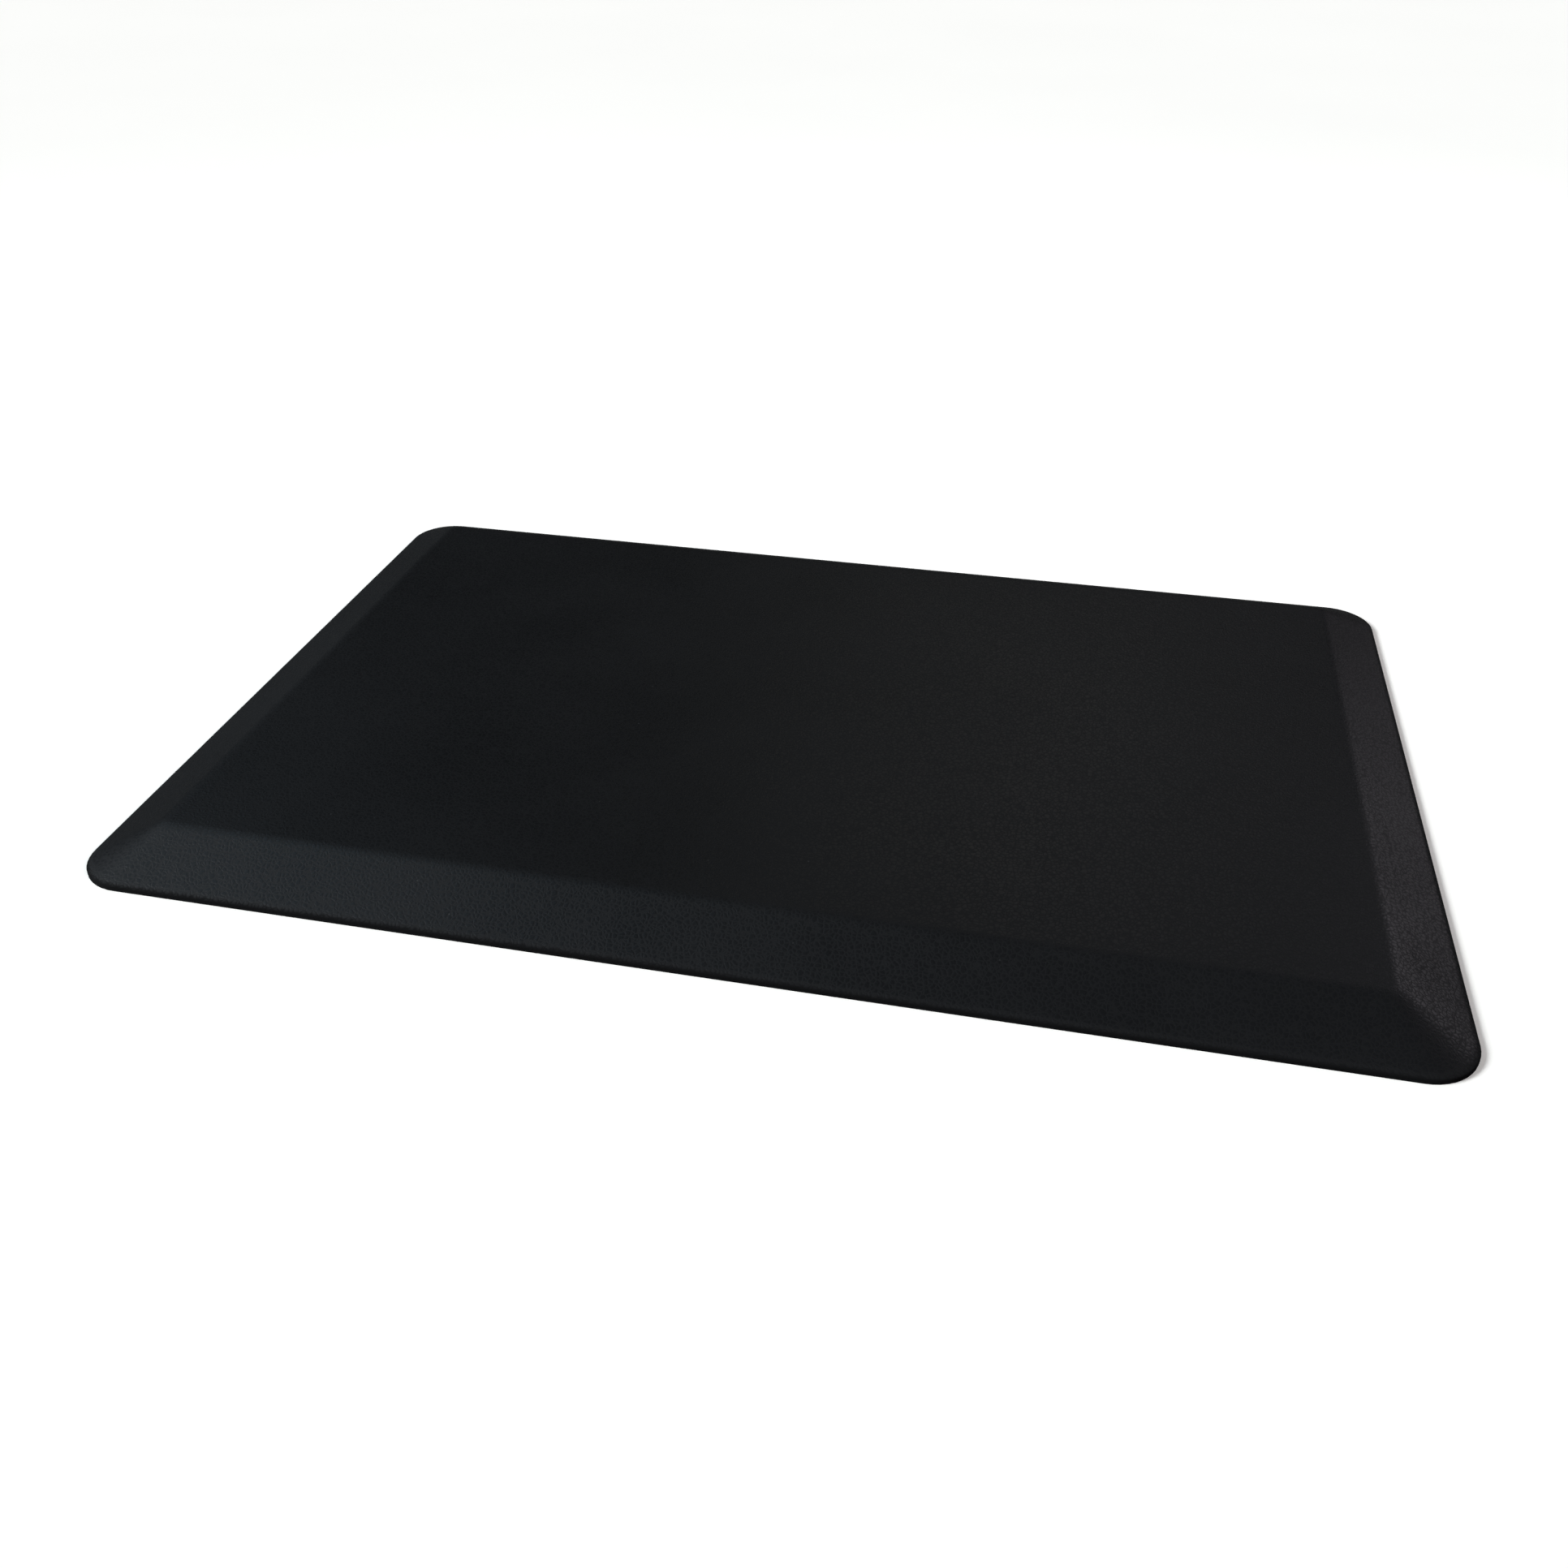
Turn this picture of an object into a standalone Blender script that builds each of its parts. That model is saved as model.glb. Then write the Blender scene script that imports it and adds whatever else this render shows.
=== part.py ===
"""Anti fatigue mat: a foam slab sealed between a moulded cover and a non-slip base sheet.

Units are metres and +Z is up. The origin is the centre of the underside, and +X runs along the long side.
Every layer is built from levels. A level is a rounded rectangle at one height, set in from the mat's
outline by one inset, and its corners tighten evenly from the outline to the flat top.
"""

import math

import bmesh
import bpy

NAME = "anti_fatigue_mat"

# Overall size
LENGTH = 0.9144
WIDTH = 0.6096
HEIGHT = 0.0254

# Corners, seen from above
CORNER_RADIUS = 0.036
TOP_CORNER_RADIUS = 0.005

# Sloped border: its width in plan, the height where it would meet the outline, and its two roundings
BORDER = 0.048
RIM_HEIGHT = 0.0038
ARRIS_RADIUS = 0.020
RIM_RADIUS = 0.0012

# Layers
COVER_THICKNESS = 0.0012
FILM_THICKNESS = 0.0003
BASE_THICKNESS = 0.0016

# The cover's rim: a flange bonded to the base sheet, and a lip outside the film that hides its edge
FLANGE_WIDTH = 0.006
LIP_WIDTH = 0.0015

# Gap left between neighbouring layers
CLEARANCE = 0.0003

# Fineness of the curves
CORNER_STEPS = 16
ARRIS_STEPS = 4
RIM_STEPS = 5
SHARP_ANGLE = math.radians(30)

# Sizes that follow from the ones above
SLOPE = math.atan2(HEIGHT - RIM_HEIGHT, BORDER)
TOP_INSET = BORDER + ARRIS_RADIUS * math.tan(SLOPE / 2)
LIP_FLOOR = BASE_THICKNESS + CLEARANCE
FOAM_FLOOR = LIP_FLOOR + FILM_THICKNESS + CLEARANCE
FILM_DEPTH = COVER_THICKNESS + CLEARANCE
FOAM_DEPTH = FILM_DEPTH + FILM_THICKNESS + CLEARANCE
FOAM_INSET = FLANGE_WIDTH + CLEARANCE
BASE_FILM_INSET = LIP_WIDTH + CLEARANCE


def corner_radius(inset):
    """Plan radius of the corners of the level that lies this far in from the outline."""
    return CORNER_RADIUS + (TOP_CORNER_RADIUS - CORNER_RADIUS) * inset / TOP_INSET


def outline(inset):
    """Plan points of the rounded rectangle at this inset, anticlockwise from its +X side."""
    radius = corner_radius(inset)
    centre_x = LENGTH / 2 - inset - radius
    centre_y = WIDTH / 2 - inset - radius
    points = []
    for quarter, (side_x, side_y) in enumerate(((1, 1), (-1, 1), (-1, -1), (1, -1))):
        for step in range(CORNER_STEPS + 1):
            angle = math.pi / 2 * (quarter + step / CORNER_STEPS)
            x = side_x * centre_x + radius * math.cos(angle)
            y = side_y * centre_y + radius * math.sin(angle)
            points.append((x, y))
    return points


def slope_height(inset, depth):
    """Height of the border's slope, or of the surface parallel to it that lies this deep below it."""
    return RIM_HEIGHT + inset * math.tan(SLOPE) - depth / math.cos(SLOPE)


def arris_levels(depth):
    """Levels of the rounding from the slope up to the flat top, this deep below the outside."""
    radius = ARRIS_RADIUS - depth
    centre_height = HEIGHT - ARRIS_RADIUS
    levels = []
    for step in range(ARRIS_STEPS + 1):
        angle = SLOPE * (1 - step / ARRIS_STEPS)
        levels.append((TOP_INSET - radius * math.sin(angle), centre_height + radius * math.cos(angle)))
    return levels


def rim_levels():
    """Levels of the rounding from the upright rim onto the slope, from the bottom up."""
    centre_height = slope_height(RIM_RADIUS, RIM_RADIUS)
    levels = []
    for step in range(RIM_STEPS + 1):
        angle = math.pi / 2 + (SLOPE - math.pi / 2) * step / RIM_STEPS
        inset = RIM_RADIUS * (1 - math.sin(angle))
        levels.append((inset, centre_height + RIM_RADIUS * math.cos(angle)))
    return levels


def place(piece, parent, collection, finish):
    """Links a piece into the mat with its own material, given as colour, roughness and metallic value."""
    colour, roughness, metallic = finish
    material = bpy.data.materials.new(piece.name)
    material.use_nodes = True
    shader = material.node_tree.nodes["Principled BSDF"]
    shader.inputs["Base Color"].default_value = (*colour, 1)
    shader.inputs["Roughness"].default_value = roughness
    shader.inputs["Metallic"].default_value = metallic
    piece.data.materials.append(material)
    piece.parent = parent
    collection.objects.link(piece)


def loft(name, levels, closed):
    """Skin through the levels in order, capped at the last one and, if closed, at the first one too.

    The levels run up the outside of a solid, so that its faces point outwards. Each side of the border is
    flat, but its corners join an arc of one radius to an arc of another, which no primitive does.
    """
    shape = bmesh.new()
    rings = []
    for inset, height in levels:
        rings.append([shape.verts.new((x, y, height)) for x, y in outline(inset)])
    for low, high in zip(rings, rings[1:]):
        for index in range(len(low)):
            after = (index + 1) % len(low)
            shape.faces.new((low[index], low[after], high[after], high[index]))
    shape.faces.new(rings[-1])
    if closed:
        shape.faces.new(reversed(rings[0]))
    mesh = bpy.data.meshes.new(name)
    shape.to_mesh(mesh)
    shape.free()
    mesh.shade_smooth()
    mesh.set_sharp_from_angle(angle=SHARP_ANGLE)
    return bpy.data.objects.new(name, mesh)


def flat_sheet(name, inset, floor, thickness):
    """Sheet cut to the outline at this inset, lying with its underside at the height of the floor."""
    curve = bpy.data.curves.new(name, "CURVE")
    curve.dimensions = "2D"
    curve.fill_mode = "BOTH"
    curve.extrude = thickness / 2
    points = outline(inset)
    spline = curve.splines.new("POLY")
    spline.points.add(len(points) - 1)
    for point, (x, y) in zip(spline.points, points):
        point.co = (x, y, 0, 1)
    spline.use_cyclic_u = True
    sheet = bpy.data.objects.new(name, curve)
    sheet.location.z = floor + thickness / 2
    return sheet


def make_base_sheet():
    """Non-slip rubber sheet, the only layer that touches the floor. Its cut edge shows all round."""
    return flat_sheet("base_sheet", 0, 0, BASE_THICKNESS)


def make_base_bond_film():
    """Adhesive film that holds the foam and the cover's flange to the base sheet."""
    return flat_sheet("base_bond_film", BASE_FILM_INSET, LIP_FLOOR, FILM_THICKNESS)


def make_foam_core():
    """Cushioning slab, its four edges ground to the border's slope and left square at the bottom."""
    bottom_edge = (FOAM_INSET, FOAM_FLOOR)
    top_edge = (FOAM_INSET, slope_height(FOAM_INSET, FOAM_DEPTH))
    return loft("foam_core", [bottom_edge, top_edge] + arris_levels(FOAM_DEPTH), closed=True)


def make_cover_bond_film():
    """Adhesive film between the foam and the cover, over the slopes and the flat top."""
    lower_edge = (FOAM_INSET, slope_height(FOAM_INSET, FILM_DEPTH))
    film = loft("cover_bond_film", [lower_edge] + arris_levels(FILM_DEPTH), closed=False)
    wall = film.modifiers.new("film thickness", "SOLIDIFY")
    wall.thickness = FILM_THICKNESS
    wall.offset = -1
    wall.use_even_offset = True
    wall.use_rim = True
    return film


def make_top_cover():
    """Moulded wear skin: an even wall over the foam, solid in the flange, with a lip round the film."""
    inside = list(reversed(arris_levels(COVER_THICKNESS)))
    flange_top = (FLANGE_WIDTH, slope_height(FLANGE_WIDTH, COVER_THICKNESS))
    flange_bottom = (FLANGE_WIDTH, FOAM_FLOOR)
    lip_top = (LIP_WIDTH, FOAM_FLOOR)
    lip_inner_edge = (LIP_WIDTH, LIP_FLOOR)
    lip_outer_edge = (0, LIP_FLOOR)
    seam = [flange_top, flange_bottom, lip_top, lip_inner_edge, lip_outer_edge]
    outside = rim_levels() + arris_levels(0)
    return loft("top_cover", inside + seam + outside, closed=True)


def main():
    for old in list(bpy.data.objects):
        bpy.data.objects.remove(old)
    collection = bpy.data.collections.new(NAME)
    bpy.context.scene.collection.children.link(collection)
    mat = bpy.data.objects.new(NAME, None)
    collection.objects.link(mat)

    black_rubber = ((0.009, 0.009, 0.010), 0.75, 0)
    clear_adhesive = ((0.62, 0.57, 0.44), 0.35, 0)
    charcoal_foam = ((0.055, 0.056, 0.060), 0.95, 0)
    black_skin = ((0.011, 0.011, 0.012), 0.55, 0)
    place(make_base_sheet(), mat, collection, black_rubber)
    place(make_base_bond_film(), mat, collection, clear_adhesive)
    place(make_foam_core(), mat, collection, charcoal_foam)
    place(make_cover_bond_film(), mat, collection, clear_adhesive)
    place(make_top_cover(), mat, collection, black_skin)


main()
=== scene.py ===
# %% [markdown]
# # A cushioned standing mat
# The mat is a slab of foam sealed between a grained, moulded cover and a rubber base sheet. It has no
# frame, no hinge and no fastener: its layers are bonded face to face, and its form is one rule, a
# sloped section carried round a rounded rectangle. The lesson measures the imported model, writes that
# rule down once, builds the layers from it with Geometry Nodes, and then gives each layer its own
# finish.

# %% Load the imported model
import math

import bpy
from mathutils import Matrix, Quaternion, Vector


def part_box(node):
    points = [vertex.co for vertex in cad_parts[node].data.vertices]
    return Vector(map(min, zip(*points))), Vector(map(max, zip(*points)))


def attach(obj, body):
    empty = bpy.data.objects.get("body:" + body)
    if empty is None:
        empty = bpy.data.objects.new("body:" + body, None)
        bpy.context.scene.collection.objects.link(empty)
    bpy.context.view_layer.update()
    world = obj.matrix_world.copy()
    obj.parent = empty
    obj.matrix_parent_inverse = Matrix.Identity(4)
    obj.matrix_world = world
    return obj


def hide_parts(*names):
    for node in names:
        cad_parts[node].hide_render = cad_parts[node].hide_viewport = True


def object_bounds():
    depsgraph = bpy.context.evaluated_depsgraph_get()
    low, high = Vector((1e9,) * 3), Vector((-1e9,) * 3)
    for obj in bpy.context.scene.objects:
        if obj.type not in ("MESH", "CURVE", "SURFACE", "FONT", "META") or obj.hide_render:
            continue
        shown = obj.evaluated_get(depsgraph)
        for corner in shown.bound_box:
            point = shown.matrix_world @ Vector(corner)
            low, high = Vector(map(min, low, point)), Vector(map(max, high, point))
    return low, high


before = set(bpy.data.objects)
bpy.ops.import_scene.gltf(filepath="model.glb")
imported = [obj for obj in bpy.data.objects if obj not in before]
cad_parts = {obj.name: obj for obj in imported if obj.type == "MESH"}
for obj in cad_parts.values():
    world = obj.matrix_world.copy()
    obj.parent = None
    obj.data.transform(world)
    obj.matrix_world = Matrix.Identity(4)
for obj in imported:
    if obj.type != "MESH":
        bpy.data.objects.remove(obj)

CAD_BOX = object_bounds()
MM = 0.001
print("layers in the model:", sorted(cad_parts))

# %% [markdown]
# ## Measuring the model
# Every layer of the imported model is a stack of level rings, and each ring is a rounded rectangle.
# Typing the sizes in again would work until somebody changed the design, so this cell reads them off
# the model. A ring is described by three numbers: how far it lies in from the outline, the radius of
# its corners, and its height.

# %% Measure the rings
LENGTH, WIDTH, HEIGHT = CAD_BOX[1] - CAD_BOX[0]
SAME = 0.01 * MM


def rings_of(node):
    """Rings of one layer from its underside up, each as inset, corner radius and height."""
    levels = {}
    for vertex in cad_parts[node].data.vertices:
        levels.setdefault(round(vertex.co.z, 5), []).append(vertex.co)
    rings = []
    for height, points in sorted(levels.items()):
        half_length = max(point.x for point in points)
        half_width = max(point.y for point in points)
        corner_start = max(point.y for point in points if point.x > half_length - SAME)
        rings.append((LENGTH / 2 - half_length, half_width - corner_start, height))
    return rings


sheet_rings = rings_of("base_sheet")
foam_rings = rings_of("foam_core")
CORNER_RADIUS = sheet_rings[0][1]
BASE_TOP = sheet_rings[-1][2]
FOAM_INSET, _, FOAM_FLOOR = foam_rings[0]
TOP_INSET, TOP_RADIUS, FOAM_TOP = foam_rings[-1]
print("mat %.1f x %.1f x %.1f mm" % (LENGTH / MM, WIDTH / MM, HEIGHT / MM))
print("corner radius %.1f mm at the outline, %.1f mm round the flat top" % (
    CORNER_RADIUS / MM, TOP_RADIUS / MM))

# %% [markdown]
# The foam's second and third rings are the two ends of its straight slope, so they give the slope's
# angle. Its last ring is the end of the soft arris, and the arc between gives the arris radius. The
# skins above the foam run parallel to it, so a surface is named by its depth under the outside of the
# mat.

# %% Work out the slope, the arris and the layer depths
_, _, shoulder_height = foam_rings[1]
arris_inset, _, arris_height = foam_rings[2]
SLOPE = math.atan2(arris_height - shoulder_height, arris_inset - FOAM_INSET)
FOAM_DEPTH = HEIGHT - FOAM_TOP
ARRIS_RADIUS = (TOP_INSET - arris_inset) / math.sin(SLOPE) + FOAM_DEPTH

FILM_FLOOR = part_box("base_bond_film")[0].z
GAP = FILM_FLOOR - BASE_TOP
LIP_WIDTH = LENGTH / 2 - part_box("base_bond_film")[1].x - GAP
FLANGE_WIDTH = FOAM_INSET - GAP
FILM_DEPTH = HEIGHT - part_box("cover_bond_film")[1].z
COVER_WALL = FILM_DEPTH - GAP
FILM_WALL = FOAM_DEPTH - GAP - FILM_DEPTH
print("slope %.1f degrees, arris radius %.1f mm" % (math.degrees(SLOPE), ARRIS_RADIUS / MM))
print("cover wall %.2f mm, film %.2f mm, gap %.2f mm" % (COVER_WALL / MM, FILM_WALL / MM, GAP / MM))

# %% [markdown]
# ## The camera
# The mat is seen from a metre away and from table height: a little to the right of straight in front,
# looking down by a little over a third of a right angle. The camera is placed by those angles and a
# distance, because they are what one would change. Depth of field stays off, so every edge is sharp.

# %% Place the camera
VIEW_TURN = math.radians(12.04)
VIEW_ELEVATION = math.radians(33.86)
VIEW_ROLL = math.radians(0.17)
VIEW_DISTANCE = 1.0915
VIEW_TARGET = Vector((-0.0046, -0.0802, 0))
SENSOR_MM = 36
FOCAL_MM = 33.264


def make_camera():
    """Camera that looks at the target from the view's turn, elevation and distance."""
    backward = Vector((
        math.sin(VIEW_TURN) * math.cos(VIEW_ELEVATION),
        -math.cos(VIEW_TURN) * math.cos(VIEW_ELEVATION),
        math.sin(VIEW_ELEVATION),
    ))
    camera = bpy.data.objects.new("camera", bpy.data.cameras.new("camera"))
    camera.data.sensor_width = SENSOR_MM
    camera.data.lens = FOCAL_MM
    camera.data.clip_start = 0.01
    camera.rotation_mode = "QUATERNION"
    camera.rotation_quaternion = backward.to_track_quat("Z", "Y") @ Quaternion((0, 0, 1), VIEW_ROLL)
    camera.location = VIEW_TARGET + VIEW_DISTANCE * backward
    bpy.context.scene.collection.objects.link(camera)
    return camera


bpy.context.scene.camera = make_camera()
print("camera at", [round(value, 3) for value in bpy.context.scene.camera.location])

# %% [markdown]
# ## The rule of the section
# Cut the mat across one edge, and the cut shows the whole design: an upright lip, a small roll onto a
# flat slope, and a broad soft arris onto the level top. One function gives that line at any depth.
# The corners tighten evenly on the way in, which is what turns each corner of the slope into part of
# a cone and lets the crease between two slopes fade out before it reaches the rim.

# %% Write the section down as functions
ARRIS_STEPS = 10
SLOPE_STEPS = 9
PATCH_INSET = TOP_INSET + TOP_RADIUS


def corner_radius(inset):
    """Radius of the corners of the ring at this inset, down to nil at the edge of the middle patch."""
    if inset < TOP_INSET:
        return CORNER_RADIUS + (TOP_RADIUS - CORNER_RADIUS) * inset / TOP_INSET
    return max(0, PATCH_INSET - inset)


def slope_height(inset, depth):
    """Height of the straight slope at this inset, for the surface this deep under the outside."""
    arc = ARRIS_RADIUS - depth
    start_inset = TOP_INSET - arc * math.sin(SLOPE)
    start_height = HEIGHT - ARRIS_RADIUS + arc * math.cos(SLOPE)
    return start_height - (start_inset - inset) * math.tan(SLOPE)


def rise(first_inset, depth):
    """Levels up a slope, over the arris and in to the middle patch, for the surface this deep."""
    arc = ARRIS_RADIUS - depth
    last_inset = TOP_INSET - arc * math.sin(SLOPE)
    levels = []
    for step in range(SLOPE_STEPS):
        inset = first_inset + (last_inset - first_inset) * step / SLOPE_STEPS
        levels.append((inset, slope_height(inset, depth)))
    for step in range(ARRIS_STEPS + 1):
        angle = SLOPE * (1 - step / ARRIS_STEPS)
        inset = TOP_INSET - arc * math.sin(angle)
        levels.append((inset, HEIGHT - ARRIS_RADIUS + arc * math.cos(angle)))
    levels.append((PATCH_INSET, HEIGHT - depth))
    return levels


def quarter_turn(centre, radius, start, end, steps):
    """Levels on an arc about a centre, with angles measured up from the direction of rising inset."""
    levels = []
    for step in range(steps + 1):
        angle = math.radians(start + (end - start) * step / steps)
        levels.append((centre[0] + radius * math.cos(angle), centre[1] + radius * math.sin(angle)))
    return levels


print("the slope meets the outline at %.2f mm" % (slope_height(0, 0) / MM))

# %% [markdown]
# ## Two small helpers for node trees
# Shader trees and geometry trees are wired the same way, so two helpers serve both. The first starts
# a group with named sockets. The second adds a node and fills each input, with a number or with a
# wire from another node.

# %% Define the tree helpers
def start_tree(name, kind, inputs, outputs):
    """New node group with these sockets, and its input and output nodes."""
    tree = bpy.data.node_groups.new(name, kind)
    for label, socket_type, value in inputs:
        socket = tree.interface.new_socket(label, in_out="INPUT", socket_type=socket_type)
        if value is not None:
            socket.default_value = value
    for label, socket_type in outputs:
        tree.interface.new_socket(label, in_out="OUTPUT", socket_type=socket_type)
    return tree, tree.nodes.new("NodeGroupInput").outputs, tree.nodes.new("NodeGroupOutput").inputs


def add(tree, kind, inputs, **settings):
    """Adds a node with these settings, and fills its inputs with values or with wires."""
    node = tree.nodes.new(kind)
    for label, value in settings.items():
        setattr(node, label, value)
    for key, value in inputs.items():
        if isinstance(value, bpy.types.NodeSocket):
            tree.links.new(value, node.inputs[key])
        else:
            node.inputs[key].default_value = value
    return node


def calc(tree, operation, *values):
    """One step of arithmetic, as a Math node."""
    return add(tree, "ShaderNodeMath", dict(enumerate(values)), operation=operation).outputs[0]


def span(tree, value, low, high, to_low=0.0, to_high=1.0):
    """Eases a value from one range into another, without overshoot."""
    inputs = {"Value": value, 1: low, 2: high, 3: to_low, 4: to_high}
    return add(tree, "ShaderNodeMapRange", inputs, interpolation_type="SMOOTHSTEP").outputs[0]


print("helpers ready: start_tree, add, calc, span")

# %% [markdown]
# ## Carrying the section round the outline
# A bevelled curve would keep one corner radius from the rim to the top, and this mat doesn't. So the
# tree starts from a plain grid, one row for each point of the section and one column for each point
# of the outline, and works out where every vertex belongs. A column's number tells which quarter of
# the outline it is in, whether it is on the corner's arc or on the straight after it, and how far
# along. Two flat grids close the middle, below and above, and merging makes one watertight skin.
#
# A section point keeps its inset in X, its corner radius in Y and its height in Z.

# %% Build the sweep tree
QUARTER = math.pi / 2
MERGE = 0.005 * MM


def place_on_outline(tree, given, column, inset, radius):
    """X and Y of the outline's point in this column, for a ring of this inset and corner radius."""
    corner = given["Corner Steps"]
    long_side = given["Long Steps"]
    short_side = given["Short Steps"]
    long_quarter = calc(tree, "ADD", corner, long_side)
    half_turn = calc(tree, "ADD", long_quarter, calc(tree, "ADD", corner, short_side))
    half = calc(tree, "FLOOR", calc(tree, "DIVIDE", column, half_turn))
    in_half = calc(tree, "SUBTRACT", column, calc(tree, "MULTIPLY", half, half_turn))
    is_short = calc(tree, "GREATER_THAN", in_half, calc(tree, "SUBTRACT", long_quarter, 0.5))
    in_quarter = calc(tree, "SUBTRACT", in_half, calc(tree, "MULTIPLY", is_short, long_quarter))
    quarter = calc(tree, "MULTIPLY_ADD", half, 2.0, is_short)
    side_change = calc(tree, "SUBTRACT", short_side, long_side)
    side = calc(tree, "MULTIPLY_ADD", is_short, side_change, long_side)

    on_arc = calc(tree, "MINIMUM", calc(tree, "DIVIDE", in_quarter, corner), 1.0)
    past_arc = calc(tree, "MAXIMUM", calc(tree, "SUBTRACT", in_quarter, corner), 0.0)
    along = calc(tree, "DIVIDE", past_arc, side)
    turn = calc(tree, "MULTIPLY", calc(tree, "ADD", quarter, on_arc), QUARTER)
    diagonal = calc(tree, "MULTIPLY", calc(tree, "ADD", quarter, 0.5), QUARTER)
    cosine = calc(tree, "MULTIPLY", calc(tree, "COSINE", diagonal), math.sqrt(2))
    sine = calc(tree, "MULTIPLY", calc(tree, "SINE", diagonal), math.sqrt(2))
    back = calc(tree, "SUBTRACT", 1.0, along)
    share_x = calc(tree, "SUBTRACT",
                   calc(tree, "MULTIPLY", cosine, back), calc(tree, "MULTIPLY", sine, along))
    share_y = calc(tree, "ADD",
                   calc(tree, "MULTIPLY", sine, back), calc(tree, "MULTIPLY", cosine, along))

    reach = calc(tree, "ADD", inset, radius)
    centre_x = calc(tree, "SUBTRACT", calc(tree, "MULTIPLY", given["Length"], 0.5), reach)
    centre_y = calc(tree, "SUBTRACT", calc(tree, "MULTIPLY", given["Width"], 0.5), reach)
    arc_x = calc(tree, "MULTIPLY", radius, calc(tree, "COSINE", turn))
    arc_y = calc(tree, "MULTIPLY", radius, calc(tree, "SINE", turn))
    x = calc(tree, "MULTIPLY_ADD", share_x, centre_x, arc_x)
    y = calc(tree, "MULTIPLY_ADD", share_y, centre_y, arc_y)
    return x, y, calc(tree, "MULTIPLY", half_turn, 2.0)


def section_point(tree, given, index):
    """Inset, corner radius and height of one point of the section."""
    position = add(tree, "GeometryNodeInputPosition", {}).outputs[0]
    inputs = {"Geometry": given["Section"], "Value": position, "Index": index}
    sample = add(tree, "GeometryNodeSampleIndex", inputs, data_type="FLOAT_VECTOR")
    return add(tree, "ShaderNodeSeparateXYZ", {0: sample.outputs[0]}).outputs


def middle_patch(tree, given, index):
    """Flat grid that closes the sweep at one end of the section."""
    end = section_point(tree, given, index)
    twice = calc(tree, "MULTIPLY", end[0], 2.0)
    grid = add(tree, "GeometryNodeMeshGrid", {
        "Size X": calc(tree, "SUBTRACT", given["Length"], twice),
        "Size Y": calc(tree, "SUBTRACT", given["Width"], twice),
        "Vertices X": calc(tree, "ADD", given["Long Steps"], 1.0),
        "Vertices Y": calc(tree, "ADD", given["Short Steps"], 1.0),
    })
    lift = add(tree, "ShaderNodeCombineXYZ", {2: end[2]})
    return add(tree, "GeometryNodeTransform",
               {"Geometry": grid.outputs[0], "Translation": lift.outputs[0]})


print("sweep helpers ready; vertices closer than %.3f mm are merged" % (MERGE / MM))

# %% [markdown]
# Foam is never dead flat: cast slabs rise and fall by a fraction of a millimetre over a hand's
# breadth, and a glossy light shows it. The tree adds that as a slow noise, and it does so by place
# alone, so that the cover, the film and the foam under one spot rise together and stay the same gap
# apart. The rise is nil at the rim.

# %% Add the slow unevenness and finish the tree
def rise_and_fall(tree, given):
    """Small vertical shift of every vertex: slow noise, eased away towards the rim and the floor."""
    position = add(tree, "GeometryNodeInputPosition", {}).outputs[0]
    x, y, z = add(tree, "ShaderNodeSeparateXYZ", {0: position}).outputs
    half_length = calc(tree, "MULTIPLY", given["Length"], 0.5)
    half_width = calc(tree, "MULTIPLY", given["Width"], 0.5)
    room_x = calc(tree, "SUBTRACT", half_length, calc(tree, "ABSOLUTE", x))
    room_y = calc(tree, "SUBTRACT", half_width, calc(tree, "ABSOLUTE", y))
    from_rim = span(tree, calc(tree, "MINIMUM", room_x, room_y), 4 * MM, TOP_INSET)
    place = add(tree, "ShaderNodeCombineXYZ", {0: x, 1: y, 2: given["Seed"]}).outputs[0]
    scale = calc(tree, "DIVIDE", 1.0, given["Patch Size"])
    noise = add(tree, "ShaderNodeTexNoise",
                {"Vector": place, "Scale": scale, "Detail": 2.0, "Roughness": 0.45})
    swing = calc(tree, "MULTIPLY", calc(tree, "SUBTRACT", noise.outputs[0], 0.5), 2.0)
    height_share = calc(tree, "DIVIDE", z, given["Height"])
    amount = calc(tree, "MULTIPLY", calc(tree, "MULTIPLY", swing, from_rim), height_share)
    shift = calc(tree, "MULTIPLY", amount, given["Unevenness"])
    return add(tree, "ShaderNodeCombineXYZ", {2: shift}).outputs[0]


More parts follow.
